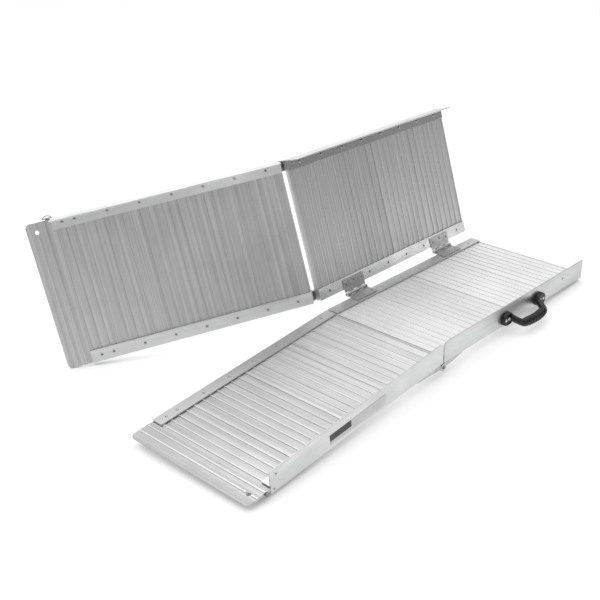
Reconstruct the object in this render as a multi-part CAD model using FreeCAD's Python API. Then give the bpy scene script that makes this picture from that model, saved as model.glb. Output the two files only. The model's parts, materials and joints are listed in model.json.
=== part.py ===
"""Portable multi-fold wheelchair ramp in ribbed aluminium planks, 4 ft long and 2 ft 5 in wide when open.

Two identical runs, A and B, lie side by side. Each run is an upper panel and a lower panel joined by two
hinges on the underside, so that the panels fold underside to underside. Two butt hinges on top of the
centre strips join the upper panels, so that the runs close tread to tread and the curbs meet.

A run is modelled flat in its own axes: x along the run, 0 at the cross hinge and + towards the upper end,
y outwards, 0 at the centre edge, and z up, 0 at the top of the tread ribs. Run A is the mirror of run B.
The parts are then set up as the ramp stands at rest: run A on the ground as a shallow tent, and run B
standing on edge behind it, leaning back, with its lower panel swung round. Millimetres, +Z up.
The origin is under the middle of the whole ramp, on the ground.
"""
import FreeCAD, Part
import math
import os

V = FreeCAD.Vector

# planks: aluminium extrusions that run across a panel
plank_width = 152.4
planks_per_panel = 4
plank_height = 11.5
skin_thickness = 2.8
rib_height = 1.8
rib_pitch = 21.0
ribs_per_plank = 6
rib_base = 5.0
rib_top = 3.0
edge_rib_width = 3.0
leg_thickness = 2.5
foot_width = 12.0
foot_thickness = 2.0
plank_gap = 0.3

# run and rails
run_width = 356.0
wall = 3.0
curb_height = 37.0
rail_depth = 14.5
flange = 3.0
curb_flange_width = 26.0
strip_width = 30.0
end_gap = 0.25
hinge_corner_radius = 12.0
front_corner_radius = 7.0
far_corner_radius = 3.0
top_edge_radius = 1.2
upper_length = plank_width * planks_per_panel

# tongue: the front of a lower panel, ahead of its rails
tongue_length = 60.0
tongue_thickness = 5.2
tongue_corner_radius = 10.0
tongue_bevel = 8.0
tongue_tip_thickness = 2.4
fixing_hole_radius = 5.0
fixing_hole_inset = 23.0
spot_face_radius = 8.0

# rivets that hold the rails to the planks
rivet_shank_radius = 2.4
rivet_head_radius = 4.6
rivet_head_height = 2.2
rivet_dimple_radius = 1.6
rivet_pitch = plank_width / 2.0
rivet_first = rivet_pitch / 2.0
front_rivet_inset = 24.8
curb_rivet_inset = 11.0
strip_rivet_inset = 15.5

# cross hinges under the rails
cross_axis_drop = 27.5
barrel_radius = 9.5
cross_pin_radius = 4.5
pin_clearance = 0.05
knuckle_gap = 0.3
pin_recess = 1.5
upper_leaf_reach = 72.0
lower_leaf_reach = 95.0
leaf_clear = 10.3
leaf_level = 22.0
leaf_above_axis = 0.8
leaf_tip_thickness = 3.5
leaf_side_inset = 1.0
leaf_rivet_stations = (0.5, 0.8)
leaf_rivet_radius = 3.0
leaf_rivet_head_radius = 5.0
leaf_rivet_head_height = 1.6

# butt hinges on the centre strips of the upper panels
butt_axis_out = 13.2
butt_length = 76.2
butt_leaf_reach = 24.3
butt_leaf_thickness = 2.5
butt_barrel_radius = 4.6
butt_pin_radius = 2.45
butt_knuckles = 5
butt_centre_x = (124.0, upper_length - 124.0)
butt_rivet_offsets = ((-29.5, 12.0), (0.0, 16.5), (29.5, 12.0))
butt_rivet_radius = 2.2
butt_rivet_head_radius = 3.6
butt_rivet_head_height = 1.4
butt_axis_height = flange + butt_barrel_radius

# carrying handle on the outer face of run A's upper curb
handle_x = 318.0
handle_z = 4.0
handle_foot_span = 184.0
handle_foot_length = 38.0
handle_foot_height = 32.0
handle_foot_depth = 12.0
handle_foot_corner = 15.0
handle_foot_rim = 4.0
handle_reach = 36.0
grip_half_length = 42.0
grip_bow = 6.0
grip_drop = 11.0
grip_radius = 11.0
elbow_radius = 11.15
handle_screw_offsets = (-10.5, 2.5)
handle_screw_radius = 2.1
handle_screw_head_radius = 3.8
handle_screw_head_height = 1.8

# latch that holds the closed ramp: a stud on run A and a D-ring on run B
stud_x = -564.0
stud_screw_radius = 1.8
stud_screw_length = 9.0
stud_neck_radius = 2.8
stud_collar_radius = 4.0
stud_head_radius = 4.6
stud_reach = 6.5
ring_x = -556.0
ring_wire_radius = 1.25
ring_half_width = 10.5
ring_rise = 6.5
ring_bar_out = 3.2
clip_length = 11.0
clip_sheet = 0.8
clip_depth = 12.0

# small rivets through the outer face of run A's curb
face_rivet_radius = 2.0
face_rivet_head_radius = 3.4
face_rivet_head_height = 1.2
lower_face_rivets = ((-532.0, 22.0), (-541.0, -7.5))
upper_face_rivets = ((510.0, 15.0),)

# blank label on run A's lower curb
label_from_x = -380.0
label_to_x = -205.0
label_bottom = -6.0
label_top = 18.0
label_thickness = 0.5

# how the ramp stands at rest, in degrees
tent_angle = 5.6
stand_angle = 73.0
swing_angle = 36.5

axis_z = -cross_axis_drop
skin_top = -rib_height
skin_bottom = skin_top - skin_thickness
plank_bottom = -plank_height
tongue_bottom = skin_top - tongue_thickness
tongue_middle = skin_top - tongue_thickness / 2
inner_face = wall
outer_face = run_width - wall
front_x = -(upper_length - tongue_length)
tip_x = -upper_length
outer_leaf_span = (run_width - curb_flange_width, run_width - leaf_side_inset)
inner_leaf_span = (leaf_side_inset, curb_flange_width)


def box(x0, x1, y0, y1, z0, z1):
    return Part.makeBox(x1 - x0, y1 - y0, z1 - z0, V(x0, y0, z0))


def prism(points, direction):
    """Solid between a flat closed outline and its copy moved by direction."""
    outline = Part.makePolygon([V(*p) for p in points] + [V(*points[0])])
    return Part.Face(outline).extrude(direction)


def rod(radius, start, end):
    span = V(*end) - V(*start)
    return Part.makeCylinder(radius, span.Length, V(*start), span)


def joined(shapes):
    result = shapes[0].fuse(shapes[1:]) if len(shapes) > 1 else shapes[0]
    return result.removeSplitter()


def cut(shape, tools):
    return shape.cut(Part.makeCompound(tools)) if tools else shape


# planks

def rib(x, y0, y1, base, top):
    points = [(x - base / 2, y0, skin_top), (x + base / 2, y0, skin_top),
              (x + top / 2, y0, 0.0), (x - top / 2, y0, 0.0)]
    return prism(points, V(0, y1 - y0, 0))


def foot_leg(x, y0, y1, reach_back, reach_front):
    """A leg under the skin with a flat foot that reaches back and front of it."""
    leg = box(x - leg_thickness / 2, x + leg_thickness / 2, y0, y1, plank_bottom, skin_bottom)
    foot = box(x - reach_back, x + reach_front, y0, y1, plank_bottom, plank_bottom + foot_thickness)
    return [leg, foot]


def rib_centres(x0):
    """Where the ribs of the full plank that starts at x0 are."""
    middle = x0 + plank_width / 2
    return [middle + (number - (ribs_per_plank - 1) / 2) * rib_pitch for number in range(ribs_per_plank)]


def plank(start):
    """One ribbed plank, open underneath, with a leg at each edge and two between."""
    x0 = start + plank_gap / 2
    x1 = start + plank_width - plank_gap / 2
    y0 = inner_face + plank_gap
    y1 = outer_face - plank_gap
    edge = leg_thickness / 2
    third = plank_width / 3
    pieces = [box(x0, x1, y0, y1, skin_bottom, skin_top)]
    pieces += foot_leg(x0 + edge, y0, y1, edge, foot_width - edge)
    pieces += foot_leg(x1 - edge, y0, y1, foot_width - edge, edge)
    pieces += foot_leg(x0 + third, y0, y1, foot_width / 2, foot_width / 2)
    pieces += foot_leg(x1 - third, y0, y1, foot_width / 2, foot_width / 2)
    pieces += [rib(x, y0, y1, rib_base, rib_top) for x in rib_centres(start)]
    pieces.append(box(x0, x0 + edge_rib_width, y0, y1, skin_top, 0.0))
    pieces.append(box(x1 - edge_rib_width, x1, y0, y1, skin_top, 0.0))
    return joined(pieces)


def rounded_corner(y, inward):
    """What a rounded corner of the tongue takes off the square corner at y."""
    radius = tongue_corner_radius
    y_low, y_high = sorted((y - inward, y + inward * radius))
    square = box(tip_x - 1, tip_x + radius, y_low, y_high, -plank_height, 1.0)
    centre = V(tip_x + radius, y + inward * radius, -plank_height)
    return square.cut(Part.makeCylinder(radius, plank_height + 1, centre))


def tongue_plank():
    """The front plank. Ahead of the rails it is a full-width bevelled tongue with a fixing hole."""
    back = front_x + plank_gap
    x1 = tip_x + plank_width - plank_gap / 2
    y0 = inner_face + plank_gap
    y1 = outer_face - plank_gap
    edge = leg_thickness / 2
    pieces = [box(tip_x, front_x - plank_gap, 0.0, run_width, tongue_bottom, skin_top),
              box(front_x - 1, x1, y0, y1, skin_bottom, skin_top),
              box(x1 - edge_rib_width, x1, y0, y1, skin_top, 0.0)]
    pieces += foot_leg(back + edge, y0, y1, edge, foot_width - edge)
    pieces += foot_leg(x1 - edge, y0, y1, foot_width - edge, edge)
    pieces += foot_leg(x1 - plank_width / 3, y0, y1, foot_width / 2, foot_width / 2)
    for x in rib_centres(tip_x):
        span = (0.0, run_width) if x < front_x else (y0, y1)
        pieces.append(rib(x, *span, rib_base, rib_top))
    nose = tip_x + tongue_bevel
    low = tongue_bottom + tongue_tip_thickness
    bevel = prism([(tip_x - 1, -1, low), (tip_x, -1, low), (nose, -1, skin_top), (nose, -1, 1.0),
                   (tip_x - 1, -1, 1.0)], V(0, run_width + 2, 0))
    hole_x = tip_x + fixing_hole_inset
    hole_y = run_width - fixing_hole_inset
    hole = Part.makeCylinder(fixing_hole_radius, plank_height, V(hole_x, hole_y, -plank_height + 1))
    spot_face = Part.makeCylinder(spot_face_radius, rib_height + 1, V(hole_x, hole_y, skin_top))
    corners = [rounded_corner(0.0, 1), rounded_corner(run_width, -1)]
    return cut(joined(pieces), [bevel, hole.fuse(spot_face)] + corners)


def rivet_holes(places):
    return [Part.makeCylinder(rivet_shank_radius, plank_height + flange + 1, V(x, y, -plank_height - 0.5))
            for x, y in places]


# rails

def rail_wall(x0, x1, y0, z_top, hinge_radius, far_radius):
    """Upright wall whose top corners are rounded, the corner at the cross hinge more than the far one."""
    z_bottom = -rail_depth
    near, far = (x0, x1) if abs(x0) < abs(x1) else (x1, x0)
    step = 1 if far > near else -1
    points = [V(near, y0, z_bottom), V(near, y0, z_top - hinge_radius)]
    edges = [Part.makeLine(*points)]
    bend = math.sqrt(0.5)
    if hinge_radius:
        top = V(near + step * hinge_radius, y0, z_top)
        mid = V(near + step * hinge_radius * (1 - bend), y0, z_top - hinge_radius * (1 - bend))
        edges.append(Part.Arc(points[-1], mid, top).toShape())
    else:
        top = V(near, y0, z_top)
    if far_radius:
        before = V(far - step * far_radius, y0, z_top)
        mid = V(far - step * far_radius * (1 - bend), y0, z_top - far_radius * (1 - bend))
        after = V(far, y0, z_top - far_radius)
        edges += [Part.makeLine(top, before), Part.Arc(before, mid, after).toShape()]
    else:
        after = V(far, y0, z_top)
        edges.append(Part.makeLine(top, after))
    low = V(far, y0, z_bottom)
    edges += [Part.makeLine(after, low), Part.makeLine(low, points[0])]
    return Part.Face(Part.Wire(edges)).extrude(V(0, wall, 0))


def soften_top(solid, z_top):
    """Round the long top edges of a curb wall."""
    long_edges = [e for e in solid.Edges if abs(e.BoundBox.ZMin - z_top) < 0.01 and e.BoundBox.XLength > 100]
    return solid.makeFillet(top_edge_radius, long_edges)


def curb(x0, x1, far_radius, holes):
    upright = rail_wall(x0, x1, outer_face, curb_height, hinge_corner_radius, far_radius)
    upright = soften_top(upright, curb_height)
    inner = run_width - curb_flange_width
    top = box(x0, x1, inner, outer_face, 0.0, flange)
    bottom = box(x0, x1, inner, outer_face, -rail_depth, -rail_depth + flange)
    return cut(joined([upright, top, bottom]), holes)


def centre_strip(x0, x1, holes):
    upright = rail_wall(x0, x1, 0.0, flange, 0.0, 0.0)
    top = box(x0, x1, inner_face, strip_width, 0.0, flange)
    bottom = box(x0, x1, inner_face, curb_flange_width, -rail_depth, -rail_depth + flange)
    return cut(joined([upright, top, bottom]), holes)


# rivets

def rivet(x, y):
    """Dome-headed rivet with the dimple that its mandrel leaves."""
    shank = Part.makeCylinder(rivet_shank_radius, plank_height * 0.6, V(x, y, flange - plank_height * 0.6))
    head = Part.makeCone(rivet_head_radius, rivet_head_radius * 0.62, rivet_head_height, V(x, y, flange))
    dimple = Part.makeCylinder(rivet_dimple_radius, rivet_head_height, V(x, y, flange + 0.8))
    return joined([shank, head]).cut(dimple)


def face_rivet(x, z):
    shank = rod(face_rivet_radius, (x, outer_face, z), (x, run_width, z))
    head = Part.makeCone(face_rivet_head_radius, face_rivet_head_radius * 0.6, face_rivet_head_height,
                         V(x, run_width, z), V(0, 1, 0))
    return joined([shank, head])


def face_rivet_hole(x, z):
    return rod(face_rivet_radius, (x, outer_face - 1, z), (x, run_width + 1, z))


def panel_rivet_places(lower, on_curb):
    """Two rivets to a plank; a lower panel has one more at its front, under a butt hinge there is none."""
    y = run_width - curb_rivet_inset if on_curb else strip_rivet_inset
    xs = [rivet_first + rivet_pitch * number for number in range(2 * planks_per_panel)]
    if lower:
        xs = [-x for x in xs if x < -front_x - front_rivet_inset] + [front_x + front_rivet_inset]
    elif not on_curb:
        xs = [x for x in xs if all(abs(x - c) > butt_length / 2 for c in butt_centre_x)]
    return [(x, y) for x in xs]


# cross hinges

def knuckle_spans(low, high, parts, first):
    """The spans of every second knuckle of a barrel, starting with knuckle number first."""
    size = (high - low) / parts
    return [(low + number * size + knuckle_gap / 2, low + (number + 1) * size - knuckle_gap / 2)
            for number in range(first, parts, 2)]


def leaf_profile(step, y, top):
    """Outline of a cross hinge leaf, seen from the side, up to the height top."""
    reach = upper_leaf_reach if step > 0 else lower_leaf_reach
    near = axis_z + leaf_above_axis
    tip = -rail_depth - leaf_tip_thickness
    return [(leaf_clear * step, y, top), (reach * step, y, top), (reach * step, y, tip),
            (leaf_level * step, y, near), (leaf_clear * step, y, near)]


def leaf_rivet_places(step, span):
    reach = upper_leaf_reach if step > 0 else lower_leaf_reach
    return [(reach * station * step, sum(span) / 2) for station in leaf_rivet_stations]


def cross_leaf(step, span):
    """Leaf under a rail. Step is +1 on the upper panel, with two knuckles, and -1 on the lower, with one."""
    y0, y1 = span
    near = axis_z + leaf_above_axis
    pieces = [prism(leaf_profile(step, y0, -rail_depth), V(0, y1 - y0, 0))]
    for low, high in knuckle_spans(y0, y1, 3, 0 if step > 0 else 1):
        pieces.append(rod(barrel_radius, (0, low, axis_z), (0, high, axis_z)))
        into_leaf = leaf_clear * 1.1 * step
        web = [(0.0, low, near), (into_leaf, low, near), (into_leaf, low, -rail_depth),
               (leaf_clear * step, low, -rail_depth), (2.0 * step, low, axis_z + barrel_radius)]
        pieces.append(prism(web, V(0, high - low, 0)))
    bore = rod(cross_pin_radius + pin_clearance, (0, y0 - 1, axis_z), (0, y1 + 1, axis_z))
    holes = [rod(leaf_rivet_radius, (x, y, -3 * rail_depth), (x, y, 0))
             for x, y in leaf_rivet_places(step, span)]
    return cut(joined(pieces), [bore] + holes)


def leaf_rivets(step, span):
    """Rivets through a leaf and the rail's lower flange, with their heads under the sloping leaf."""
    reach = upper_leaf_reach if step > 0 else lower_leaf_reach
    slope = (leaf_above_axis - cross_axis_drop + rail_depth + leaf_tip_thickness) / (leaf_level - reach)
    rivets = []
    for x, y in leaf_rivet_places(step, span):
        seat = -rail_depth - leaf_tip_thickness - slope * (reach - abs(x))
        middle = seat - leaf_rivet_head_height / 2
        shank = rod(leaf_rivet_radius, (x, y, middle), (x, y, -rail_depth + flange))
        head = rod(leaf_rivet_head_radius, (x, y, seat - leaf_rivet_head_height), (x, y, seat + 1))
        leaf = prism(leaf_profile(step, span[0], 0.0), V(0, span[1] - span[0], 0))
        rivets.append(joined([shank, head.cut(leaf)]))
    return rivets


def leaf_rivet_holes(step, span):
    return [rod(leaf_rivet_radius, (x, y, -rail_depth - 1), (x, y, -rail_depth + flange))
            for x, y in leaf_rivet_places(step, span)]


# butt hinges

def butt_leaf(centre, first):
    """Leaf on a centre strip with every second knuckle, starting with knuckle number first."""
    x0 = centre - butt_length / 2
    x1 = centre + butt_length / 2
    z1 = flange + butt_leaf_thickness
    edge = -butt_axis_out + butt_barrel_radius + knuckle_gap * 2
    pieces = [box(x0, x1, edge, butt_leaf_reach, flange, z1)]
    for low, high in knuckle_spans(x0, x1, butt_knuckles, first):
        pieces.append(rod(butt_barrel_radius, (low, -butt_axis_out, butt_axis_height),
                          (high, -butt_axis_out, butt_axis_height)))
        pieces.append(box(low, high, -butt_axis_out, edge + 1, flange, z1))
    bore = rod(butt_pin_radius + pin_clearance, (x0 - 1, -butt_axis_out, butt_axis_height),
               (x1 + 1, -butt_axis_out, butt_axis_height))
    holes = [Part.makeCylinder(butt_rivet_radius, 3 * flange, V(centre + dx, y, 0))
             for dx, y in butt_rivet_offsets]
    return cut(joined(pieces), [bore] + holes)


def butt_rivets():
    top = flange + butt_leaf_thickness
    rivets = []
    for centre in butt_centre_x:
        for dx, y in butt_rivet_offsets:
            shank = Part.makeCylinder(butt_rivet_radius, top, V(centre + dx, y, 0))
            head = Part.makeCone(butt_rivet_head_radius, butt_rivet_head_radius * 0.6,
                                 butt_rivet_head_height, V(centre + dx, y, top))
            rivets.append(joined([shank, head]))
    return Part.makeCompound(rivets)


def butt_rivet_holes():
    return [Part.makeCylinder(butt_rivet_radius, flange + 1, V(centre + dx, y, 0))
            for centre in butt_centre_x for dx, y in butt_rivet_offsets]


# handle

def handle_screw_places():
    middle = (handle_foot_span - handle_foot_length) / 2.0
    return [handle_x + side * (middle - offset) for side in (-1, 1) for offset in handle_screw_offsets]


def handle_foot(side):
    """Rounded pad against the curb that carries one end of the grip."""
    middle = handle_x + side * (handle_foot_span - handle_foot_length) / 2.0
    half_length = handle_foot_length / 2
    half_height = handle_foot_height / 2
    face = run_width + handle_foot_depth
    pad = box(middle - half_length, middle + half_length, run_width, face,
              handle_z - half_height, handle_z + half_height)
    upright_edges = [e for e in pad.Edges if e.BoundBox.YLength > handle_foot_depth - 0.1]
    pad = pad.makeFillet(handle_foot_corner, upright_edges)
    rim = [e for e in pad.Edges if e.BoundBox.YMin > face - 0.1]
    return pad.makeFillet(handle_foot_rim, rim)


def grip_path():
    """Centre line of the grip: out of and below one foot, along a shallow bow, and back into the other."""
    start_x = handle_foot_span / 2.0 - handle_foot_length * 0.65
    low = run_width + grip_radius
    high = run_width + handle_reach
    low_z = handle_z - grip_drop
    bend = ((start_x + grip_half_length) / 2.0 + 3.0, (low + high) / 2.0 + 3.0, handle_z - grip_drop / 2.0)
    ends = [(-start_x, low, handle_z), (-grip_half_length, high, low_z), (grip_half_length, high, low_z),
            (start_x, low, handle_z)]
    points = [V(handle_x + x, y, z) for x, y, z in ends]
    bow = Part.Arc(points[1], V(handle_x, high + grip_bow, low_z), points[2]).toShape()
    left = Part.Arc(points[0], V(handle_x - bend[0], bend[1], bend[2]), points[1]).toShape()
    right = Part.Arc(points[2], V(handle_x + bend[0], bend[1], bend[2]), points[3]).toShape()
    return left, bow, right


def tube_along(edge, radius):
    start = edge.valueAt(edge.FirstParameter)
    direction = edge.tangentAt(edge.FirstParameter)
    profile = Part.Wire(Part.makeCircle(radius, start, direction))
    return Part.Wire(edge).makePipeShell([profile], True, True)


def handle():
    pieces = [handle_foot(-1), handle_foot(1)]
    edges = grip_path()
    pieces += [tube_along(edge, grip_radius) for edge in edges]
    pieces += [Part.makeSphere(elbow_radius, edge.valueAt(edge.FirstParameter)) for edge in edges[1:]]
    solid = joined(pieces).cut(box(0, upper_length, run_width - 40, run_width, -60, 60))
    holes = [rod(handle_screw_radius, (x, run_width - 5, handle_z), (x, run_width + 20, handle_z))
             for x in handle_screw_places()]
    recess = [rod(handle_screw_head_radius + 0.3, (x, run_width + handle_foot_depth - 1.0, handle_z),
                  (x, run_width + 60, handle_z)) for x in handle_screw_places()]
    return cut(solid, holes + recess)


def handle_screws():
    screws = []
    seat = run_width + handle_foot_depth - 1.0
    for x in handle_screw_places():
        shank = rod(handle_screw_radius, (x, outer_face, handle_z), (x, seat, handle_z))
        head = Part.makeCone(handle_screw_head_radius, handle_screw_head_radius * 0.7,
                             handle_screw_head_height, V(x, seat, handle_z), V(0, 1, 0))
        screws.append(joined([shank, head]))
    return Part.makeCompound(screws)


def handle_wall_holes():
    return [rod(handle_screw_radius, (x, outer_face - 0.5, handle_z), (x, run_width + 1, handle_z))
            for x in handle_screw_places()]


# latch and label

def latch_stud():
    """Headed stud screwed into the outer edge of run A's tongue."""
    def turned(radius, start, end):
        z = tongue_middle
        return rod(radius, (stud_x, run_width + start, z), (stud_x, run_width + end, z))
    return joined([turned(stud_screw_radius, -stud_screw_length, 1.0), turned(stud_collar_radius, 0.0, 1.2),
                   turned(stud_neck_radius, 0.0, stud_reach),
                   turned(stud_head_radius, stud_reach - 2.5, stud_reach)])


def stud_hole():
    return rod(stud_screw_radius, (stud_x, run_width - stud_screw_length, tongue_middle),
               (stud_x, run_width + 1, tongue_middle))


def ring_clip():
    """Sheet clip under run B's tongue with an eye round the D-ring's bar."""
    y = run_width + ring_bar_out
    x0 = ring_x - clip_length / 2
    x1 = ring_x + clip_length / 2
    eye = rod(ring_wire_radius + clip_sheet, (x0, y, tongue_middle), (x1, y, tongue_middle))
    drop = box(x0, x1, y - ring_wire_radius - clip_sheet, y - ring_wire_radius, tongue_bottom - clip_sheet,
               tongue_middle)
    lower = box(x0, x1, run_width - clip_depth, y - ring_wire_radius, tongue_bottom - clip_sheet,
                tongue_bottom)
    bore = rod(ring_wire_radius + pin_clearance, (x0 - 1, y, tongue_middle), (x1 + 1, y, tongue_middle))
    return cut(joined([eye, drop, lower]), [bore])


def d_ring():
    y = run_width + ring_bar_out
    z = tongue_middle
    ends = [V(ring_x + side * ring_half_width, y, z) for side in (-1, 1)]
    bow = tube_along(Part.Arc(ends[0], V(ring_x, y + ring_rise, z), ends[1]).toShape(), ring_wire_radius)
    bar = rod(ring_wire_radius, ends[0], ends[1])
    return joined([bow, bar] + [Part.makeSphere(ring_wire_radius, end) for end in ends])


def label():
    return box(label_from_x, label_to_x, run_width, run_width + label_thickness, label_bottom, label_top)


# how the panels stand at rest

def turn(axis, angle, point):
    return FreeCAD.Placement(V(0, 0, 0), FreeCAD.Rotation(axis, angle), point)


def run_b_shift():
    return FreeCAD.Placement(V(0, 2 * butt_axis_out, 0), FreeCAD.Rotation())


def relative_placements():
    """Each panel's place in run A's upper panel's axes, where y points from run A to run B."""
    cross_axis = V(0, 0, axis_z)
    stand = turn(V(1, 0, 0), stand_angle, V(0, butt_axis_out, butt_axis_height)).multiply(run_b_shift())
    return {
        "a_upper": FreeCAD.Placement(),
        "a_lower": turn(V(0, 1, 0), -tent_angle, cross_axis),
        "b_upper": stand,
        "b_lower": stand.multiply(turn(V(0, 1, 0), -swing_angle, cross_axis)),
    }


def ground_placement():
    """Sets the ramp on the ground: it touches at both ends of run A's curb and at run B's tongue."""
    places = relative_placements()
    far_end = places["a_upper"].multVec(V(upper_length, -run_width, -rail_depth))
    front_end = places["a_lower"].multVec(V(front_x, -run_width, -rail_depth))
    tongue = places["b_lower"].multVec(V(tip_x, tongue_corner_radius, tongue_bottom))
    along = far_end - front_end
    up = along.cross(tongue - front_end)
    rotation = FreeCAD.Rotation(along, V(0, 0, 0), up, "XZY").inverted()
    return FreeCAD.Placement(-rotation.multVec(front_end), rotation)


def panel_nodes(lower):
    """The pieces that every panel has, in run B's hand."""
    step = -1 if lower else 1
    x0, x1 = (front_x, -end_gap) if lower else (end_gap, upper_length)
    curb_places = panel_rivet_places(lower, True)
    strip_places = panel_rivet_places(lower, False)
    curb_holes = rivet_holes(curb_places) + leaf_rivet_holes(step, outer_leaf_span)
    strip_holes = rivet_holes(strip_places) + leaf_rivet_holes(step, inner_leaf_span)
    if not lower:
        strip_holes += butt_rivet_holes()
    hinge_rivets = leaf_rivets(step, outer_leaf_span) + leaf_rivets(step, inner_leaf_span)
    nodes = {
        "curb_rail": curb(x0, x1, front_corner_radius if lower else far_corner_radius, curb_holes),
        "centre_strip": centre_strip(x0, x1, strip_holes),
        "rivets": Part.makeCompound([rivet(x, y) for x, y in curb_places + strip_places]),
        "outer_hinge_leaf": cross_leaf(step, outer_leaf_span),
        "inner_hinge_leaf": cross_leaf(step, inner_leaf_span),
        "hinge_rivets": Part.makeCompound(hinge_rivets),
    }
    plank_holes = rivet_holes(curb_places + strip_places)
    for number in range(planks_per_panel):
        if lower and number == planks_per_panel - 1:
            body = tongue_plank()
        else:
            body = plank(-(number + 1) * plank_width if lower else number * plank_width)
        nodes["plank_%d" % (number + 1)] = cut(body, plank_holes)
    if not lower:
        for name, (low, high) in (("outer", outer_leaf_span), ("inner", inner_leaf_span)):
            nodes[name + "_hinge_pin"] = rod(cross_pin_radius, (0, low + pin_recess, axis_z),
                                             (0, high - pin_recess, axis_z))
    return nodes


def ramp():
    """Every node, by body, in the axes of the flat run it belongs to, run B's hand."""
    bodies = {"%s_%s" % (run, panel): panel_nodes(panel == "lower")
              for run in "ab" for panel in ("upper", "lower")}
    a_upper, a_lower = bodies["a_upper"], bodies["a_lower"]
    a_upper["carry_handle"] = handle()
    a_upper["handle_screws"] = handle_screws()
    a_upper["curb_rail"] = cut(a_upper["curb_rail"], handle_wall_holes())
    for nodes, places in ((a_upper, upper_face_rivets), (a_lower, lower_face_rivets)):
        nodes["curb_rail"] = cut(nodes["curb_rail"], [face_rivet_hole(*place) for place in places])
        more_rivets = [face_rivet(*place) for place in places]
        nodes["rivets"] = Part.makeCompound(nodes["rivets"].Solids + more_rivets)
    for name, centre in zip(("front", "rear"), butt_centre_x):
        a_upper[name + "_butt_leaf"] = butt_leaf(centre, 0)
        bodies["b_upper"][name + "_butt_leaf"] = butt_leaf(centre, 1)
        ends = [(centre + side * butt_length / 2, -butt_axis_out, butt_axis_height) for side in (-1, 1)]
        a_upper[name + "_butt_pin"] = rod(butt_pin_radius, *ends)
    a_upper["butt_rivets"] = butt_rivets()
    bodies["b_upper"]["butt_rivets"] = butt_rivets()
    a_lower["plank_4"] = cut(a_lower["plank_4"], [stud_hole()])
    a_lower["latch_stud"] = latch_stud()
    a_lower["label"] = label()
    bodies["b_lower"]["ring_clip"] = ring_clip()
    bodies["latch_ring"] = {"d_ring": d_ring()}
    return bodies


def placed_ramp():
    """Every node at rest in the ramp's own frame, and the placement of each body."""
    ground = ground_placement()
    places = {name: ground.multiply(place) for name, place in relative_placements().items()}
    places["latch_ring"] = places["b_lower"]
    shapes = {}
    for body, nodes in ramp().items():
        for name, shape in nodes.items():
            solid = shape.mirror(V(0, 0, 0), V(0, 1, 0)) if body.startswith("a_") else shape.copy()
            solid.Placement = places[body].multiply(solid.Placement)
            shapes[name if body == "latch_ring" else "%s_%s" % (body, name)] = solid
    bound = Part.makeCompound(list(shapes.values())).optimalBoundingBox(False, False)
    centre = FreeCAD.Placement(V(-bound.Center.x, -bound.Center.y, -bound.ZMin), FreeCAD.Rotation())
    for shape in shapes.values():
        shape.Placement = centre.multiply(shape.Placement)
    return shapes, {name: centre.multiply(place) for name, place in places.items()}


def main():
    os.makedirs("parts", exist_ok=True)
    shapes, _ = placed_ramp()
    for name, shape in shapes.items():
        shape.exportStep("parts/%s.step" % name)


if __name__ == "__main__":
    main()
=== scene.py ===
"""Looks of the folding wheelchair ramp: materials, rivets, screws, handle and label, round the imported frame."""
import bpy
import json
import math
from mathutils import Matrix, Vector

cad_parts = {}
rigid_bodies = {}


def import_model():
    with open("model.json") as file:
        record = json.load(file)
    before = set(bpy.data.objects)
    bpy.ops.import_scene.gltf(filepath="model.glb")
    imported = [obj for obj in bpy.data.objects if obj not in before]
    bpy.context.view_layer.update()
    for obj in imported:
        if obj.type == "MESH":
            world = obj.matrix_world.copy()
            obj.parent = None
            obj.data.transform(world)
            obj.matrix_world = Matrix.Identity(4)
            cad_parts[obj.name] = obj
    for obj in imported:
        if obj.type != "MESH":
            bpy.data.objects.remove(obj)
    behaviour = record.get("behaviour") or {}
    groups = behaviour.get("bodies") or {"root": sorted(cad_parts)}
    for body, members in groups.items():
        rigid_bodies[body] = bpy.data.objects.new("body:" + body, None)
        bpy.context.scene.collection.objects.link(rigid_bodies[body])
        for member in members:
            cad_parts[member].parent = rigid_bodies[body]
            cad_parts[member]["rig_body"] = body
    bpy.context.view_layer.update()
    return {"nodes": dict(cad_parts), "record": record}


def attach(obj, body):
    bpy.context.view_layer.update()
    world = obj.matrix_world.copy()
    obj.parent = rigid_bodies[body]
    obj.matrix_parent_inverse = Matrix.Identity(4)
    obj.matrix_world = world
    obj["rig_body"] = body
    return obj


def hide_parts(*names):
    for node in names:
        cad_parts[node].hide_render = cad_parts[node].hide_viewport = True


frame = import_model()
nodes = frame["nodes"]
joints = {joint["name"]: joint for joint in frame["record"]["behaviour"]["joints"]}

# sizes that scene.py shares with part.py, in metres
PLANK = 0.1524
HALF_WIDTH = 0.178
TREAD_Z = 0.0275
FLANGE_Z = TREAD_Z + 0.003
HANDLE_X = 0.318
HANDLE_Z = TREAD_Z + 0.004
HANDLE_SPREAD = 0.073
FOOT_HALF_LENGTH = 0.019
FOOT_HALF_HEIGHT = 0.016
FOOT_FACE = 0.0102

# the grip's centre line, as distances along the curb, out from it and below the feet
NECK_SPREAD = 0.0595
NECK_OUT = 0.009
BEND_SPREAD = 0.042
BEND_OUT = 0.036
BEND_AT = 0.62
GRIP_BOW = 0.0052
GRIP_DROP = 0.011
GRIP_RADIUS = 0.0116
NECK_RADIUS = 0.0083
RIDGES_TO = 0.56
RIDGE_DEPTH = 0.0022

# rivet and screw heads
RIVET_RADIUS = 0.0046
RIVET_HEIGHT = 0.0022
BUTT_RIVET_RADIUS = 0.0036
BUTT_RIVET_HEIGHT = 0.0014
RECESS_REACH = 0.0023
RECESS_HALF_WIDTH = 0.0006
RECESS_DEPTH = 0.0011


# panel axes: x along the run towards its upper end, y across, z out of the tread, 0 on the cross hinge's axis

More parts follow.
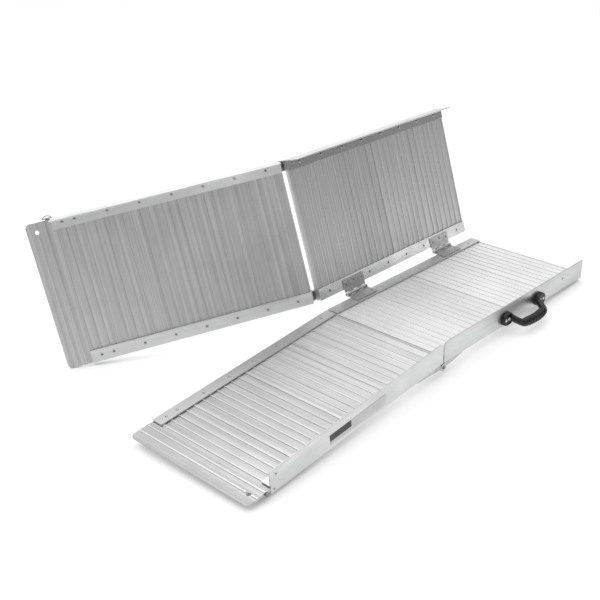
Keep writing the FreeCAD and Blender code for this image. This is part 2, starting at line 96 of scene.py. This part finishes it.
def panel_matrix(x_axis, normal, origin):
    y_axis = normal.cross(x_axis)
    turn = Matrix((x_axis, y_axis, normal)).transposed().to_4x4()
    return Matrix.Translation(origin) @ turn


def panel_matrices():
    """The rest place of each panel, worked out from the joints: a joint's lower limit is the flat ramp."""
    fold_a, close, fold_b = (joints[name] for name in ("run_a_fold", "runs_close", "run_b_fold"))
    x = Vector(close["axis"])
    y = -Vector(fold_a["axis"])
    z = x.cross(y)
    stand = Matrix.Rotation(math.radians(-close["range_deg"][0]), 3, x)
    places = {"run_a_upper": panel_matrix(x, z, Vector(fold_a["pos_m"])),
              "run_b_upper": panel_matrix(x, stand @ z, Vector(fold_b["pos_m"]))}
    for lower, upper, joint in (("run_a_lower", "run_a_upper", fold_a), ("run_b_lower", "run_b_upper", fold_b)):
        swing = Matrix.Rotation(math.radians(-joint["range_deg"][0]), 3, Vector(joint["axis"]))
        base = places[upper].to_3x3()
        places[lower] = panel_matrix(swing @ base.col[0], swing @ base.col[2], Vector(joint["pos_m"]))
    places["latch_ring"] = places["run_b_lower"]
    return places


PANELS = panel_matrices()


# node helpers

class Graph:
    """A material's node tree, with short calls for the nodes that the materials here use."""

    def __init__(self, name):
        self.material = bpy.data.materials.new(name)
        self.material.use_nodes = True
        self.tree = self.material.node_tree
        self.tree.nodes.clear()
        self.shader = self.tree.nodes.new("ShaderNodeBsdfPrincipled")
        output = self.tree.nodes.new("ShaderNodeOutputMaterial")
        self.link(self.shader.outputs[0], output.inputs["Surface"])

    def link(self, source, target):
        self.tree.links.new(source, target)

    def feed(self, socket, value):
        if isinstance(value, bpy.types.NodeSocket):
            self.link(value, socket)
        else:
            socket.default_value = value

    def place(self, panel):
        """Position in a panel's own axes."""
        inverse = PANELS[panel].inverted()
        mapping = self.tree.nodes.new("ShaderNodeMapping")
        mapping.inputs["Location"].default_value = inverse.to_translation()
        mapping.inputs["Rotation"].default_value = inverse.to_euler("XYZ")
        coordinate = self.tree.nodes.new("ShaderNodeTexCoord")
        self.link(coordinate.outputs["Object"], mapping.inputs["Vector"])
        return mapping.outputs["Vector"]

    def scaled(self, vector, factors):
        mapping = self.tree.nodes.new("ShaderNodeMapping")
        mapping.inputs["Scale"].default_value = factors
        self.link(vector, mapping.inputs["Vector"])
        return mapping.outputs["Vector"]

    def split(self, vector):
        node = self.tree.nodes.new("ShaderNodeSeparateXYZ")
        self.link(vector, node.inputs[0])
        return node.outputs[0], node.outputs[1], node.outputs[2]

    def math(self, operation, first, second=0.0):
        node = self.tree.nodes.new("ShaderNodeMath")
        node.operation = operation
        self.feed(node.inputs[0], first)
        self.feed(node.inputs[1], second)
        return node.outputs[0]

    def noise(self, vector, scale, detail=3.0, roughness=0.5):
        node = self.tree.nodes.new("ShaderNodeTexNoise")
        node.inputs["Scale"].default_value = scale
        node.inputs["Detail"].default_value = detail
        node.inputs["Roughness"].default_value = roughness
        self.link(vector, node.inputs["Vector"])
        return node.outputs["Fac"]

    def white(self, value):
        node = self.tree.nodes.new("ShaderNodeTexWhiteNoise")
        node.noise_dimensions = "1D"
        self.feed(node.inputs["W"], value)
        return node.outputs["Value"]

    def ramp(self, value, low, high, out_low, out_high):
        node = self.tree.nodes.new("ShaderNodeMapRange")
        node.interpolation_type = "SMOOTHSTEP"
        self.feed(node.inputs["Value"], value)
        for name, number in (("From Min", low), ("From Max", high), ("To Min", out_low), ("To Max", out_high)):
            node.inputs[name].default_value = number
        return node.outputs["Result"]

    def grey(self, value):
        node = self.tree.nodes.new("ShaderNodeCombineColor")
        for socket in node.inputs[:3]:
            self.feed(socket, value)
        return node.outputs["Color"]

    def tint(self, value, colour):
        """A colour scaled by a value."""
        node = self.tree.nodes.new("ShaderNodeVectorMath")
        node.operation = "SCALE"
        node.inputs[0].default_value = colour
        self.feed(node.inputs["Scale"], value)
        return node.outputs["Vector"]

    def bump(self, height, distance, strength=1.0, normal=None):
        node = self.tree.nodes.new("ShaderNodeBump")
        node.inputs["Distance"].default_value = distance
        node.inputs["Strength"].default_value = strength
        self.link(height, node.inputs["Height"])
        if normal is not None:
            self.link(normal, node.inputs["Normal"])
        return node.outputs["Normal"]

    def finish(self, colour, roughness, normal=None, metallic=1.0):
        self.feed(self.shader.inputs["Base Color"], colour)
        self.feed(self.shader.inputs["Roughness"], roughness)
        self.shader.inputs["Metallic"].default_value = metallic
        if normal is not None:
            self.link(normal, self.shader.inputs["Normal"])
        return self.material


# aluminium

# painted shade in the grooves per panel: groove tone three planks from the cross hinge, and at the hinge
GROOVE_PAINTED_SHADE = {"run_a_upper": (0.98, 0.98), "run_a_lower": (0.78, 1.0), "run_b_upper": (0.84, 0.88),
                "run_b_lower": (0.98, 0.95)}
# broad die streaks, with a depth per panel that also paints the light bands on that panel
STREAK_AND_LIGHT_TONES = {"run_a_upper": 0.96, "run_a_lower": 0.84, "run_b_upper": 0.88, "run_b_lower": 0.84}
TREAD_ROUGHNESS = {"run_a_upper": 0.56, "run_a_lower": 0.5, "run_b_upper": 0.42, "run_b_lower": 0.56}
# painted light: one aluminium, its tone made lighter or darker per panel for the light on that panel
TREAD_TONES_LIT_PER_PANEL = {"run_a_upper": 0.91, "run_a_lower": 0.85, "run_b_upper": 0.9, "run_b_lower": 0.8}


def tread_material(panel):
    """Ribbed planks: die lines along each plank, its own tone, smoother ribs, painted shade in the grooves,
    painted light per panel.
    """
    graph = Graph("tread_" + panel)
    place = graph.place(panel)
    x, y, z = graph.split(place)
    plank = graph.math("FLOOR", graph.math("DIVIDE", x, PLANK))
    tone = graph.ramp(graph.white(plank), 0.0, 1.0, 0.95, 1.02)
    die_lines = graph.noise(graph.scaled(place, (900.0, 3.0, 900.0)), 1.0, 2.0)
    streaks_and_sheen_bands = graph.noise(graph.scaled(place, (110.0, 1.2, 40.0)), 1.0, 2.0)
    cloud = graph.noise(place, 9.0, 4.0, 0.6)
    scuff = graph.noise(graph.scaled(place, (30.0, 140.0, 30.0)), 1.0, 5.0, 0.7)
    top = graph.ramp(z, TREAD_Z - 0.0016, TREAD_Z - 0.0008, 0.0, 1.0)
    shade = graph.math("MULTIPLY", tone, graph.ramp(cloud, 0.3, 0.7, 0.95, 1.0))
    # die streaks and painted sheen bands, deepest on the panel with the strongest light bands
    shade = graph.math("MULTIPLY", shade, graph.ramp(streaks_and_sheen_bands, 0.35, 0.65, STREAK_AND_LIGHT_TONES[panel], 1.0))
    shade = graph.math("MULTIPLY", shade, graph.ramp(die_lines, 0.3, 0.7, 0.96, 1.0))
    shade = graph.math("MULTIPLY", shade, graph.ramp(scuff, 0.62, 0.75, 1.0, 0.9))
    # painted shade: the grooves below the rib tops are darkened, by an amount that changes along the run
    groove_shade = graph.ramp(x, -3.0 * PLANK, 0.0, *GROOVE_PAINTED_SHADE[panel])
    rib_and_groove_shade = graph.math("ADD", graph.math("MULTIPLY", top, graph.math("SUBTRACT", 1.0, groove_shade)), groove_shade)
    shade = graph.math("MULTIPLY", shade, rib_and_groove_shade)
    rough = graph.math("ADD", graph.ramp(top, 0.0, 1.0, 0.04, -0.04), graph.ramp(cloud, 0.3, 0.7, 0.04, -0.04))
    rough = graph.math("ADD", rough, TREAD_ROUGHNESS[panel])
    normal = graph.bump(die_lines, 0.00024, 0.8)
    # the panel's tone paints the light on that panel
    return graph.finish(graph.tint(shade, [TREAD_TONES_LIT_PER_PANEL[panel]] * 3), rough, normal)


RAIL_ROUGHNESS = {"run_a_upper": (0.32, 0.42), "run_a_lower": (0.32, 0.42), "run_b_upper": (0.2, 0.28),
                  "run_b_lower": (0.42, 0.55)}
# painted light: one aluminium, its rail tone made lighter or darker per panel for the light on that panel
RAIL_TONES_LIT_PER_PANEL = {"run_a_upper": (0.68, 0.685, 0.69), "run_a_lower": (0.77, 0.775, 0.78),
              "run_b_upper": (0.9, 0.905, 0.91), "run_b_lower": (0.96, 0.965, 0.97)}


def rail_material(panel):
    """Rail extrusions: die lines along the run, cloudy oxide, small knocks and handling marks, on a tone per
    panel that paints the light on it.
    """
    graph = Graph("rail_" + panel)
    place = graph.place(panel)
    die_lines = graph.noise(graph.scaled(place, (2.5, 700.0, 700.0)), 1.0, 2.0)
    cloud = graph.noise(graph.scaled(place, (7.0, 16.0, 16.0)), 1.0, 4.0, 0.62)
    marks = graph.noise(graph.scaled(place, (60.0, 90.0, 90.0)), 1.0, 5.0, 0.75)
    shade = graph.ramp(cloud, 0.3, 0.72, 0.84, 1.0)
    shade = graph.math("MULTIPLY", shade, graph.ramp(die_lines, 0.3, 0.7, 0.94, 1.0))
    shade = graph.math("MULTIPLY", shade, graph.ramp(marks, 0.62, 0.76, 1.0, 0.86))
    low, high = RAIL_ROUGHNESS[panel]
    rough = graph.math("ADD", graph.ramp(cloud, 0.3, 0.7, high, low), graph.ramp(marks, 0.6, 0.75, 0.0, 0.1))
    normal = graph.bump(die_lines, 0.0001, 0.7)
    normal = graph.bump(marks, 0.0001, 0.25, normal)
    # the panel's tone paints the light on that panel
    return graph.finish(graph.tint(shade, RAIL_TONES_LIT_PER_PANEL[panel]), rough, normal)


def small_metal(name, panel, colour, rough_low, rough_high, lines):
    """Small metal fittings: turned or drawn lines, smudges and darkening."""
    graph = Graph(name + "_" + panel)
    place = graph.place(panel)
    line = graph.noise(graph.scaled(place, lines), 1.0, 2.0)
    smudge = graph.noise(place, 90.0, 4.0, 0.6)
    shade = graph.math("MULTIPLY", graph.ramp(smudge, 0.3, 0.7, 0.8, 1.0), graph.ramp(line, 0.3, 0.7, 0.9, 1.0))
    rough = graph.ramp(smudge, 0.3, 0.7, rough_low, rough_high)
    return graph.finish(graph.tint(shade, colour), rough, graph.bump(line, 0.00005, 0.6))


def plastic_material():
    """Black moulded plastic with a fine spark-eroded grain."""
    graph = Graph("handle_plastic")
    place = graph.place("run_a_upper")
    grain = graph.noise(place, 2600.0, 2.0)
    wear = graph.noise(place, 60.0, 4.0, 0.6)
    rough = graph.ramp(wear, 0.3, 0.7, 0.4, 0.28)
    colour = graph.tint(graph.ramp(wear, 0.3, 0.7, 0.8, 1.3), (0.008, 0.008, 0.009))
    graph.shader.inputs["Specular IOR Level"].default_value = 0.45
    return graph.finish(colour, rough, graph.bump(grain, 0.00012, 0.5), 0.0)


LABEL_BLOCK_TO = -0.315


def label_material():
    """Blank label: pale film with a dark block, and no lettering."""
    graph = Graph("label_film")
    place = graph.place("run_a_lower")
    x, y, z = graph.split(place)
    block = graph.math("MULTIPLY", graph.math("LESS_THAN", x, LABEL_BLOCK_TO),
                       graph.math("GREATER_THAN", z, FLANGE_Z))
    print_noise = graph.noise(place, 500.0, 2.0)
    wear = graph.noise(place, 70.0, 3.0)
    pale = graph.ramp(wear, 0.3, 0.7, 0.6, 0.68)
    dark = graph.ramp(print_noise, 0.3, 0.7, 0.035, 0.055)
    value = graph.math("ADD", graph.math("MULTIPLY", pale, graph.math("SUBTRACT", 1.0, block)),
                       graph.math("MULTIPLY", dark, block))
    rough = graph.ramp(wear, 0.3, 0.7, 0.4, 0.3)
    return graph.finish(graph.grey(value), rough, graph.bump(wear, 0.0001, 0.3), 0.0)


def body_of(name):
    return nodes[name]["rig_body"]


def dress_cad_nodes():
    made = {}
    fittings = {
        "hinge_leaf": ("cross_hinge", (0.62, 0.625, 0.63), 0.5, 0.36, (6.0, 500.0, 500.0)),
        "butt_leaf": ("butt_hinge", (0.6, 0.6, 0.61), 0.36, 0.26, (12.0, 300.0, 300.0)),
        "pin": ("pin", (0.24, 0.24, 0.245), 0.4, 0.25, (300.0, 300.0, 300.0)),
        "rivets": ("rivet", (0.74, 0.74, 0.75), 0.38, 0.22, (300.0, 300.0, 300.0)),
        "latch_stud": ("stud", (0.3, 0.3, 0.305), 0.35, 0.2, (300.0, 300.0, 300.0)),
        "ring_clip": ("latch", (0.6, 0.6, 0.61), 0.35, 0.2, (300.0, 300.0, 300.0)),
        "d_ring": ("latch", (0.6, 0.6, 0.61), 0.35, 0.2, (300.0, 300.0, 300.0)),
        "handle_screws": ("latch", (0.6, 0.6, 0.61), 0.35, 0.2, (300.0, 300.0, 300.0)),
    }
    for name, node in nodes.items():
        panel = body_of(name)
        if "plank" in name:
            key, maker = ("tread", panel), lambda: tread_material(panel)
        elif "curb_rail" in name or "centre_strip" in name:
            key, maker = ("rail", panel), lambda: rail_material(panel)
        elif "carry_handle" in name:
            key, maker = ("plastic",), plastic_material
        elif "label" in name:
            key, maker = ("label",), label_material
        else:
            kind = next(word for word in fittings if word in name)
            label, colour, low, high, lines = fittings[kind]
            key, maker = (label, panel), lambda: small_metal(label, panel, colour, low, high, lines)
        if key not in made:
            made[key] = maker()
        for slot in node.material_slots:
            slot.material = made[key]
    return made


materials = dress_cad_nodes()


# detailed pieces

def add_piece(name, body, verts, faces, finish, slot_name, stood_for):
    """A smooth-shaded mesh, given in a panel's own axes, that rides on that panel."""
    mesh = bpy.data.meshes.new(name)
    mesh.from_pydata([tuple(PANELS[body] @ Vector(v)) for v in verts], [], faces)
    mesh.shade_smooth()
    mesh.materials.append(finish)
    piece = bpy.data.objects.new(name, mesh)
    bpy.context.scene.collection.objects.link(piece)
    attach(piece, body)
    if stood_for:
        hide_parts(*stood_for)
    return piece


def islands(name):
    """The separate solids of a CAD node, each as the low and high corners of its box in its panel's axes."""
    node = nodes[name]
    mesh = node.data
    parent = list(range(len(mesh.vertices)))

    def root(index):
        while parent[index] != index:
            parent[index] = parent[parent[index]]
            index = parent[index]
        return index

    places = {}
    for vertex in mesh.vertices:
        key = tuple(round(c, 6) for c in vertex.co)
        parent[vertex.index] = places.setdefault(key, vertex.index)
    for edge in mesh.edges:
        first, second = (root(index) for index in edge.vertices)
        parent[max(first, second)] = min(first, second)
    to_panel = PANELS[body_of(name)].inverted() @ node.matrix_world
    found = {}
    for vertex in mesh.vertices:
        found.setdefault(root(vertex.index), []).append(to_panel @ vertex.co)
    return [([min(p[i] for p in points) for i in range(3)], [max(p[i] for p in points) for i in range(3)])
            for points in found.values()]


def lathe(verts, faces, profile, centre, axis, sides, dent=None):
    """Add a profile of (radius, height) steps, turned about an axis through centre, from rim to middle."""
    across = axis.orthogonal().normalized()
    other = axis.cross(across)
    start = len(verts)
    for radius, height in profile:
        for step in range(sides):
            angle = 2 * math.pi * step / sides
            drop = dent(radius, angle) if dent else 0.0
            spoke = across * math.cos(angle) + other * math.sin(angle)
            verts.append(tuple(centre + axis * (height - drop) + spoke * radius))
    for ring in range(len(profile) - 1):
        for step in range(sides):
            low = start + ring * sides + step
            high = start + ring * sides + (step + 1) % sides
            faces.append((low, high, high + sides, low + sides))
    last = start + (len(profile) - 1) * sides
    faces.append(tuple(range(last, last + sides)))


def rivet_profile(radius, height):
    """Domed head with a rolled rim round the dimple."""
    steps = ((1.0, 0.0), (1.0, 0.16), (0.95, 0.42), (0.84, 0.7), (0.7, 0.92), (0.58, 1.0), (0.51, 0.98),
             (0.46, 0.86), (0.43, 0.5), (0.42, 0.3))
    return [(radius * r, height * h) for r, h in steps]


def rivet_piece(name, body, node, radius, height, finish, mandrel_shade_finish):
    """Heads in place of a rivet node, each with the stub of its mandrel in the dimple; the stub's dark finish is
    the mandrel's steel and painted shade in the dimple.
    """
    heads, stubs = ([], []), ([], [])
    for low, high in islands(node):
        middle = Vector([(a + b) / 2 for a, b in zip(low, high)])
        if high[2] - low[2] > high[1] - low[1] and high[2] > FLANGE_Z:
            axis = Vector((0.0, 0.0, 1.0))
            seat = Vector((middle.x, middle.y, high[2] - height))
        else:
            axis = Vector((0.0, -1.0, 0.0))
            seat = Vector((middle.x, low[1] + height, middle.z))
        size = min(radius, (high[0] - low[0]) / 2)
        lathe(*heads, rivet_profile(size, height), seat, axis, 24)
        # the stub carries painted shade for the dimple's hollow
        stub = [(size * 0.43, height * 0.32), (size * 0.36, height * 0.44), (size * 0.12, height * 0.5)]
        lathe(*stubs, stub, seat, axis, 16)
    add_piece(name + "_heads", body, *heads, finish, "rivet", (node,))
    add_piece(name + "_mandrel_shades", body, *stubs, mandrel_shade_finish, "rivet", ())


def smooth(t):
    return t * t * (3.0 - 2.0 * t)


def grip_point(t):
    """Centre line of the handle for t from -1 to 1, as x along the curb, distance out from it, and height."""
    side = 1.0 if t > 0 else -1.0
    reach = abs(t)
    if reach > BEND_AT:
        bend = (reach - BEND_AT) / (1.0 - BEND_AT)
        along = BEND_SPREAD + (NECK_SPREAD - BEND_SPREAD) * math.sin(bend * math.pi / 2)
        out = BEND_OUT - (BEND_OUT - NECK_OUT) * smooth(bend)
        drop = GRIP_DROP * (1.0 - smooth(bend))
    else:
        along = BEND_SPREAD * reach / BEND_AT
        out = BEND_OUT + GRIP_BOW * (1.0 - (reach / BEND_AT) ** 2)
        drop = GRIP_DROP
    return Vector((side * along, out, -drop))


def grip_radius(t, angle):
    """The grip is fattest in the middle, with a row of ridges on its outer side."""
    reach = abs(t)
    body = GRIP_RADIUS - (GRIP_RADIUS - NECK_RADIUS) * smooth(min(1.0, max(0.0, (reach - 0.45) / 0.35)))
    outer = max(0.0, math.cos(angle)) ** 0.5
    wave = max(0.0, math.cos(math.pi * 14.0 * t + 0.6 * math.sin(angle)))
    ridge = wave ** 0.7 if reach < RIDGES_TO else 1.0
    return body - RIDGE_DEPTH * (1.0 - ridge) * outer


def grip_piece(finish):
    """The moulded grip, swept in rings along its centre line."""
    verts, faces = [], []
    rings, sides = 220, 40
    for ring in range(rings + 1):
        t = -1.0 + 2.0 * ring / rings
        centre = grip_point(t)
        ahead = (grip_point(min(1.0, t + 0.01)) - grip_point(max(-1.0, t - 0.01))).normalized()
        up = Vector((0.0, 0.0, 1.0))
        out = ahead.cross(up).normalized()
        out = out if out.y > 0 else -out
        up = out.cross(ahead).normalized()
        for side in range(sides):
            angle = 2 * math.pi * side / sides
            point = centre + (out * math.cos(angle) + up * math.sin(angle)) * grip_radius(t, angle)
            verts.append((HANDLE_X + point.x, -HALF_WIDTH - max(0.0, point.y), HANDLE_Z + point.z))
    for ring in range(rings):
        for side in range(sides):
            low = ring * sides + side
            high = ring * sides + (side + 1) % sides
            faces.append((low, low + sides, high + sides, high))
    faces.append(tuple(range(sides)))
    faces.append(tuple(reversed(range(rings * sides, (rings + 1) * sides))))
    add_piece("handle_grip", "run_a_upper", verts, faces, finish, "handle", ("a_upper_carry_handle",))


def foot_outline(scale, steps):
    """Rounded outline of a handle foot, wider than it is high."""
    points = []
    for step in range(steps):
        angle = 2 * math.pi * step / steps
        c, s = math.cos(angle), math.sin(angle)
        points.append((FOOT_HALF_LENGTH * scale * math.copysign(abs(c) ** 0.75, c),
                       FOOT_HALF_HEIGHT * scale * math.copysign(abs(s) ** 0.75, s)))
    return points


def foot_piece(name, side, finish):
    """A foot with a rolled rim and a dished face round the two screws."""
    layers = ((1.0, 0.0), (1.0, 0.006), (0.985, 0.0088), (0.94, 0.0108), (0.87, 0.0118), (0.8, 0.0116),
              (0.75, 0.0106), (0.71, FOOT_FACE), (0.4, FOOT_FACE), (0.1, FOOT_FACE))
    verts, faces = [], []
    count = 48
    for scale, depth in layers:
        for x, z in foot_outline(scale, count):
            verts.append((HANDLE_X + side * HANDLE_SPREAD + x, -HALF_WIDTH - depth, HANDLE_Z + z))
    for layer in range(len(layers) - 1):
        for step in range(count):
            low = layer * count + step
            high = layer * count + (step + 1) % count
            faces.append((low, high, high + count, low + count))
    last = (len(layers) - 1) * count
    faces.append(tuple(range(last, last + count)))
    add_piece(name, "run_a_upper", verts, faces, finish, "handle", ())


def cross_recess(radius, angle):
    """Depth of a cross recess in a screw head."""
    turn = abs((angle + math.pi / 4) % (math.pi / 2) - math.pi / 4)
    arm = radius * math.sin(turn)
    return RECESS_DEPTH if radius < RECESS_REACH and arm < RECESS_HALF_WIDTH else 0.0


def screw_piece(finish):
    verts, faces = [], []
    profile = [(0.0042, -0.0012), (0.0042, 0.0), (0.0040, 0.0007), (0.0034, 0.0013), (0.0026, 0.0017),
               (RECESS_REACH, 0.0018), (0.0022, 0.0018), (0.0017, 0.0019), (0.0012, 0.0019), (0.0007, 0.0019),
               (0.0003, 0.0019)]
    for low, high in islands("a_upper_handle_screws"):
        seat = Vector(((low[0] + high[0]) / 2, -HALF_WIDTH - FOOT_FACE, (low[2] + high[2]) / 2))
        lathe(verts, faces, profile, seat, Vector((0.0, -1.0, 0.0)), 64, cross_recess)
    add_piece("handle_screw_heads", "run_a_upper", verts, faces, finish, "screw", ("a_upper_handle_screws",))


plastic = materials[("plastic",)]
for panel in ("a_upper", "a_lower", "b_upper", "b_lower"):
    body = "run_" + panel
    head = small_metal("rivet_head", body, (0.76, 0.765, 0.77), 0.26, 0.14, (300.0, 300.0, 300.0))
    # mandrel stubs near black: dark steel, darkened further as painted shade in the rivet dimples
    stub = small_metal("rivet_mandrel_shade", body, (0.03, 0.03, 0.032), 0.5, 0.35, (900.0, 900.0, 900.0))
    rivet_piece(panel + "_rivet", body, panel + "_rivets", RIVET_RADIUS, RIVET_HEIGHT, head, stub)
    if panel.endswith("upper"):
        rivet_piece(panel + "_butt_rivet", body, panel + "_butt_rivets", BUTT_RIVET_RADIUS, BUTT_RIVET_HEIGHT,
                    head, stub)
grip_piece(plastic)
foot_piece("handle_foot_front", -1, plastic)
foot_piece("handle_foot_rear", 1, plastic)
screw_piece(small_metal("screw_steel", "run_a_upper", (0.88, 0.88, 0.88), 0.3, 0.16, (700.0, 700.0, 700.0)))


# floor, light and camera

def floor():
    mesh = bpy.data.meshes.new("floor")
    half = 3.5
    corners = [(-half, -half, 0), (half, -half, 0), (half, half, 0), (-half, half, 0)]
    mesh.from_pydata(corners, [], [(0, 1, 2, 3)])
    plane = bpy.data.objects.new("floor", mesh)
    bpy.context.scene.collection.objects.link(plane)
    graph = Graph("floor_paper")
    graph.finish((0.4, 0.4, 0.4, 1.0), 0.9, None, 0.0)
    graph.shader.inputs["Specular IOR Level"].default_value = 0.1
    graph.shader.inputs["Emission Color"].default_value = (1.0, 1.0, 1.0, 1.0)
    # the floor glows white, and ambient occlusion dims the glow near the ramp: a painted contact shadow
    contact_shadow = graph.tree.nodes.new("ShaderNodeAmbientOcclusion")
    contact_shadow.inputs["Distance"].default_value = 0.04
    contact_shadow.samples = 8
    graph.feed(graph.shader.inputs["Emission Strength"], graph.ramp(contact_shadow.outputs["AO"], 0.0, 0.85, 0.1, 0.7))
    mesh.materials.append(graph.material)


def world():
    """A soft studio: bright overhead and behind the ramp, darker in front of it, plain white to the eye."""
    studio = bpy.data.worlds.new("studio")
    bpy.context.scene.world = studio
    studio.use_nodes = True
    tree = studio.node_tree
    tree.nodes.clear()
    new, link = tree.nodes.new, tree.links.new
    coordinate = new("ShaderNodeTexCoord")
    facing = new("ShaderNodeVectorMath")
    facing.operation = "DOT_PRODUCT"
    facing.inputs[1].default_value = Vector((0.15, 0.55, 0.82)).normalized()
    link(coordinate.outputs["Generated"], facing.inputs[0])
    fade = new("ShaderNodeMapRange")
    fade.inputs["From Min"].default_value = -0.4
    fade.inputs["From Max"].default_value = 0.8
    fade.inputs["To Min"].default_value = 0.06
    fade.inputs["To Max"].default_value = 1.35
    link(facing.outputs["Value"], fade.inputs["Value"])
    soft = new("ShaderNodeBackground")
    link(fade.outputs["Result"], soft.inputs["Strength"])
    plain = new("ShaderNodeBackground")
    plain.inputs["Color"].default_value = (1.0, 1.0, 1.0, 1.0)
    path = new("ShaderNodeLightPath")
    mix = new("ShaderNodeMixShader")
    link(path.outputs["Is Camera Ray"], mix.inputs[0])
    link(soft.outputs[0], mix.inputs[1])
    link(plain.outputs[0], mix.inputs[2])
    output = new("ShaderNodeOutputWorld")
    link(mix.outputs[0], output.inputs[0])


def area_light(name, location, target, size, power):
    data = bpy.data.lights.new(name, "AREA")
    data.shape = "DISK"
    data.size = size
    data.energy = power
    light = bpy.data.objects.new(name, data)
    light.location = location
    light.rotation_euler = (Vector(target) - Vector(location)).to_track_quat("-Z", "Y").to_euler()
    bpy.context.scene.collection.objects.link(light)


# the viewing angle in metres and degrees: turned from +X towards +Y, tilted down, then rolled
CAMERA_PLACE = (-1.5702, -1.5573, 1.203)
CAMERA_HEADING = 43.409
CAMERA_DOWN = 27.122
CAMERA_ROLL = -3.443


def camera():
    data = bpy.data.cameras.new("camera")
    data.sensor_width = 36.0
    data.lens = 60.03
    data.shift_x = -0.0667
    data.shift_y = 0.0
    data.clip_start = 0.05
    data.clip_end = 200.0
    eye = bpy.data.objects.new("camera", data)
    heading = Matrix.Rotation(math.radians(CAMERA_HEADING - 90.0), 4, "Z")
    tilt = Matrix.Rotation(math.radians(90.0 - CAMERA_DOWN), 4, "X")
    roll = Matrix.Rotation(math.radians(CAMERA_ROLL), 4, "Z")
    eye.matrix_world = Matrix.Translation(CAMERA_PLACE) @ heading @ tilt @ roll
    bpy.context.scene.collection.objects.link(eye)
    bpy.context.scene.camera = eye


floor()
world()
area_light("top_softbox", (0.6, 0.8, 3.2), (0.0, 0.0, 0.0), 2.6, 24.0)
area_light("front_card", (-1.3, -2.7, 0.75), (-0.3, 0.1, 0.25), 1.5, 5.5)
camera()
scene = bpy.context.scene
scene.view_settings.view_transform = "Standard"
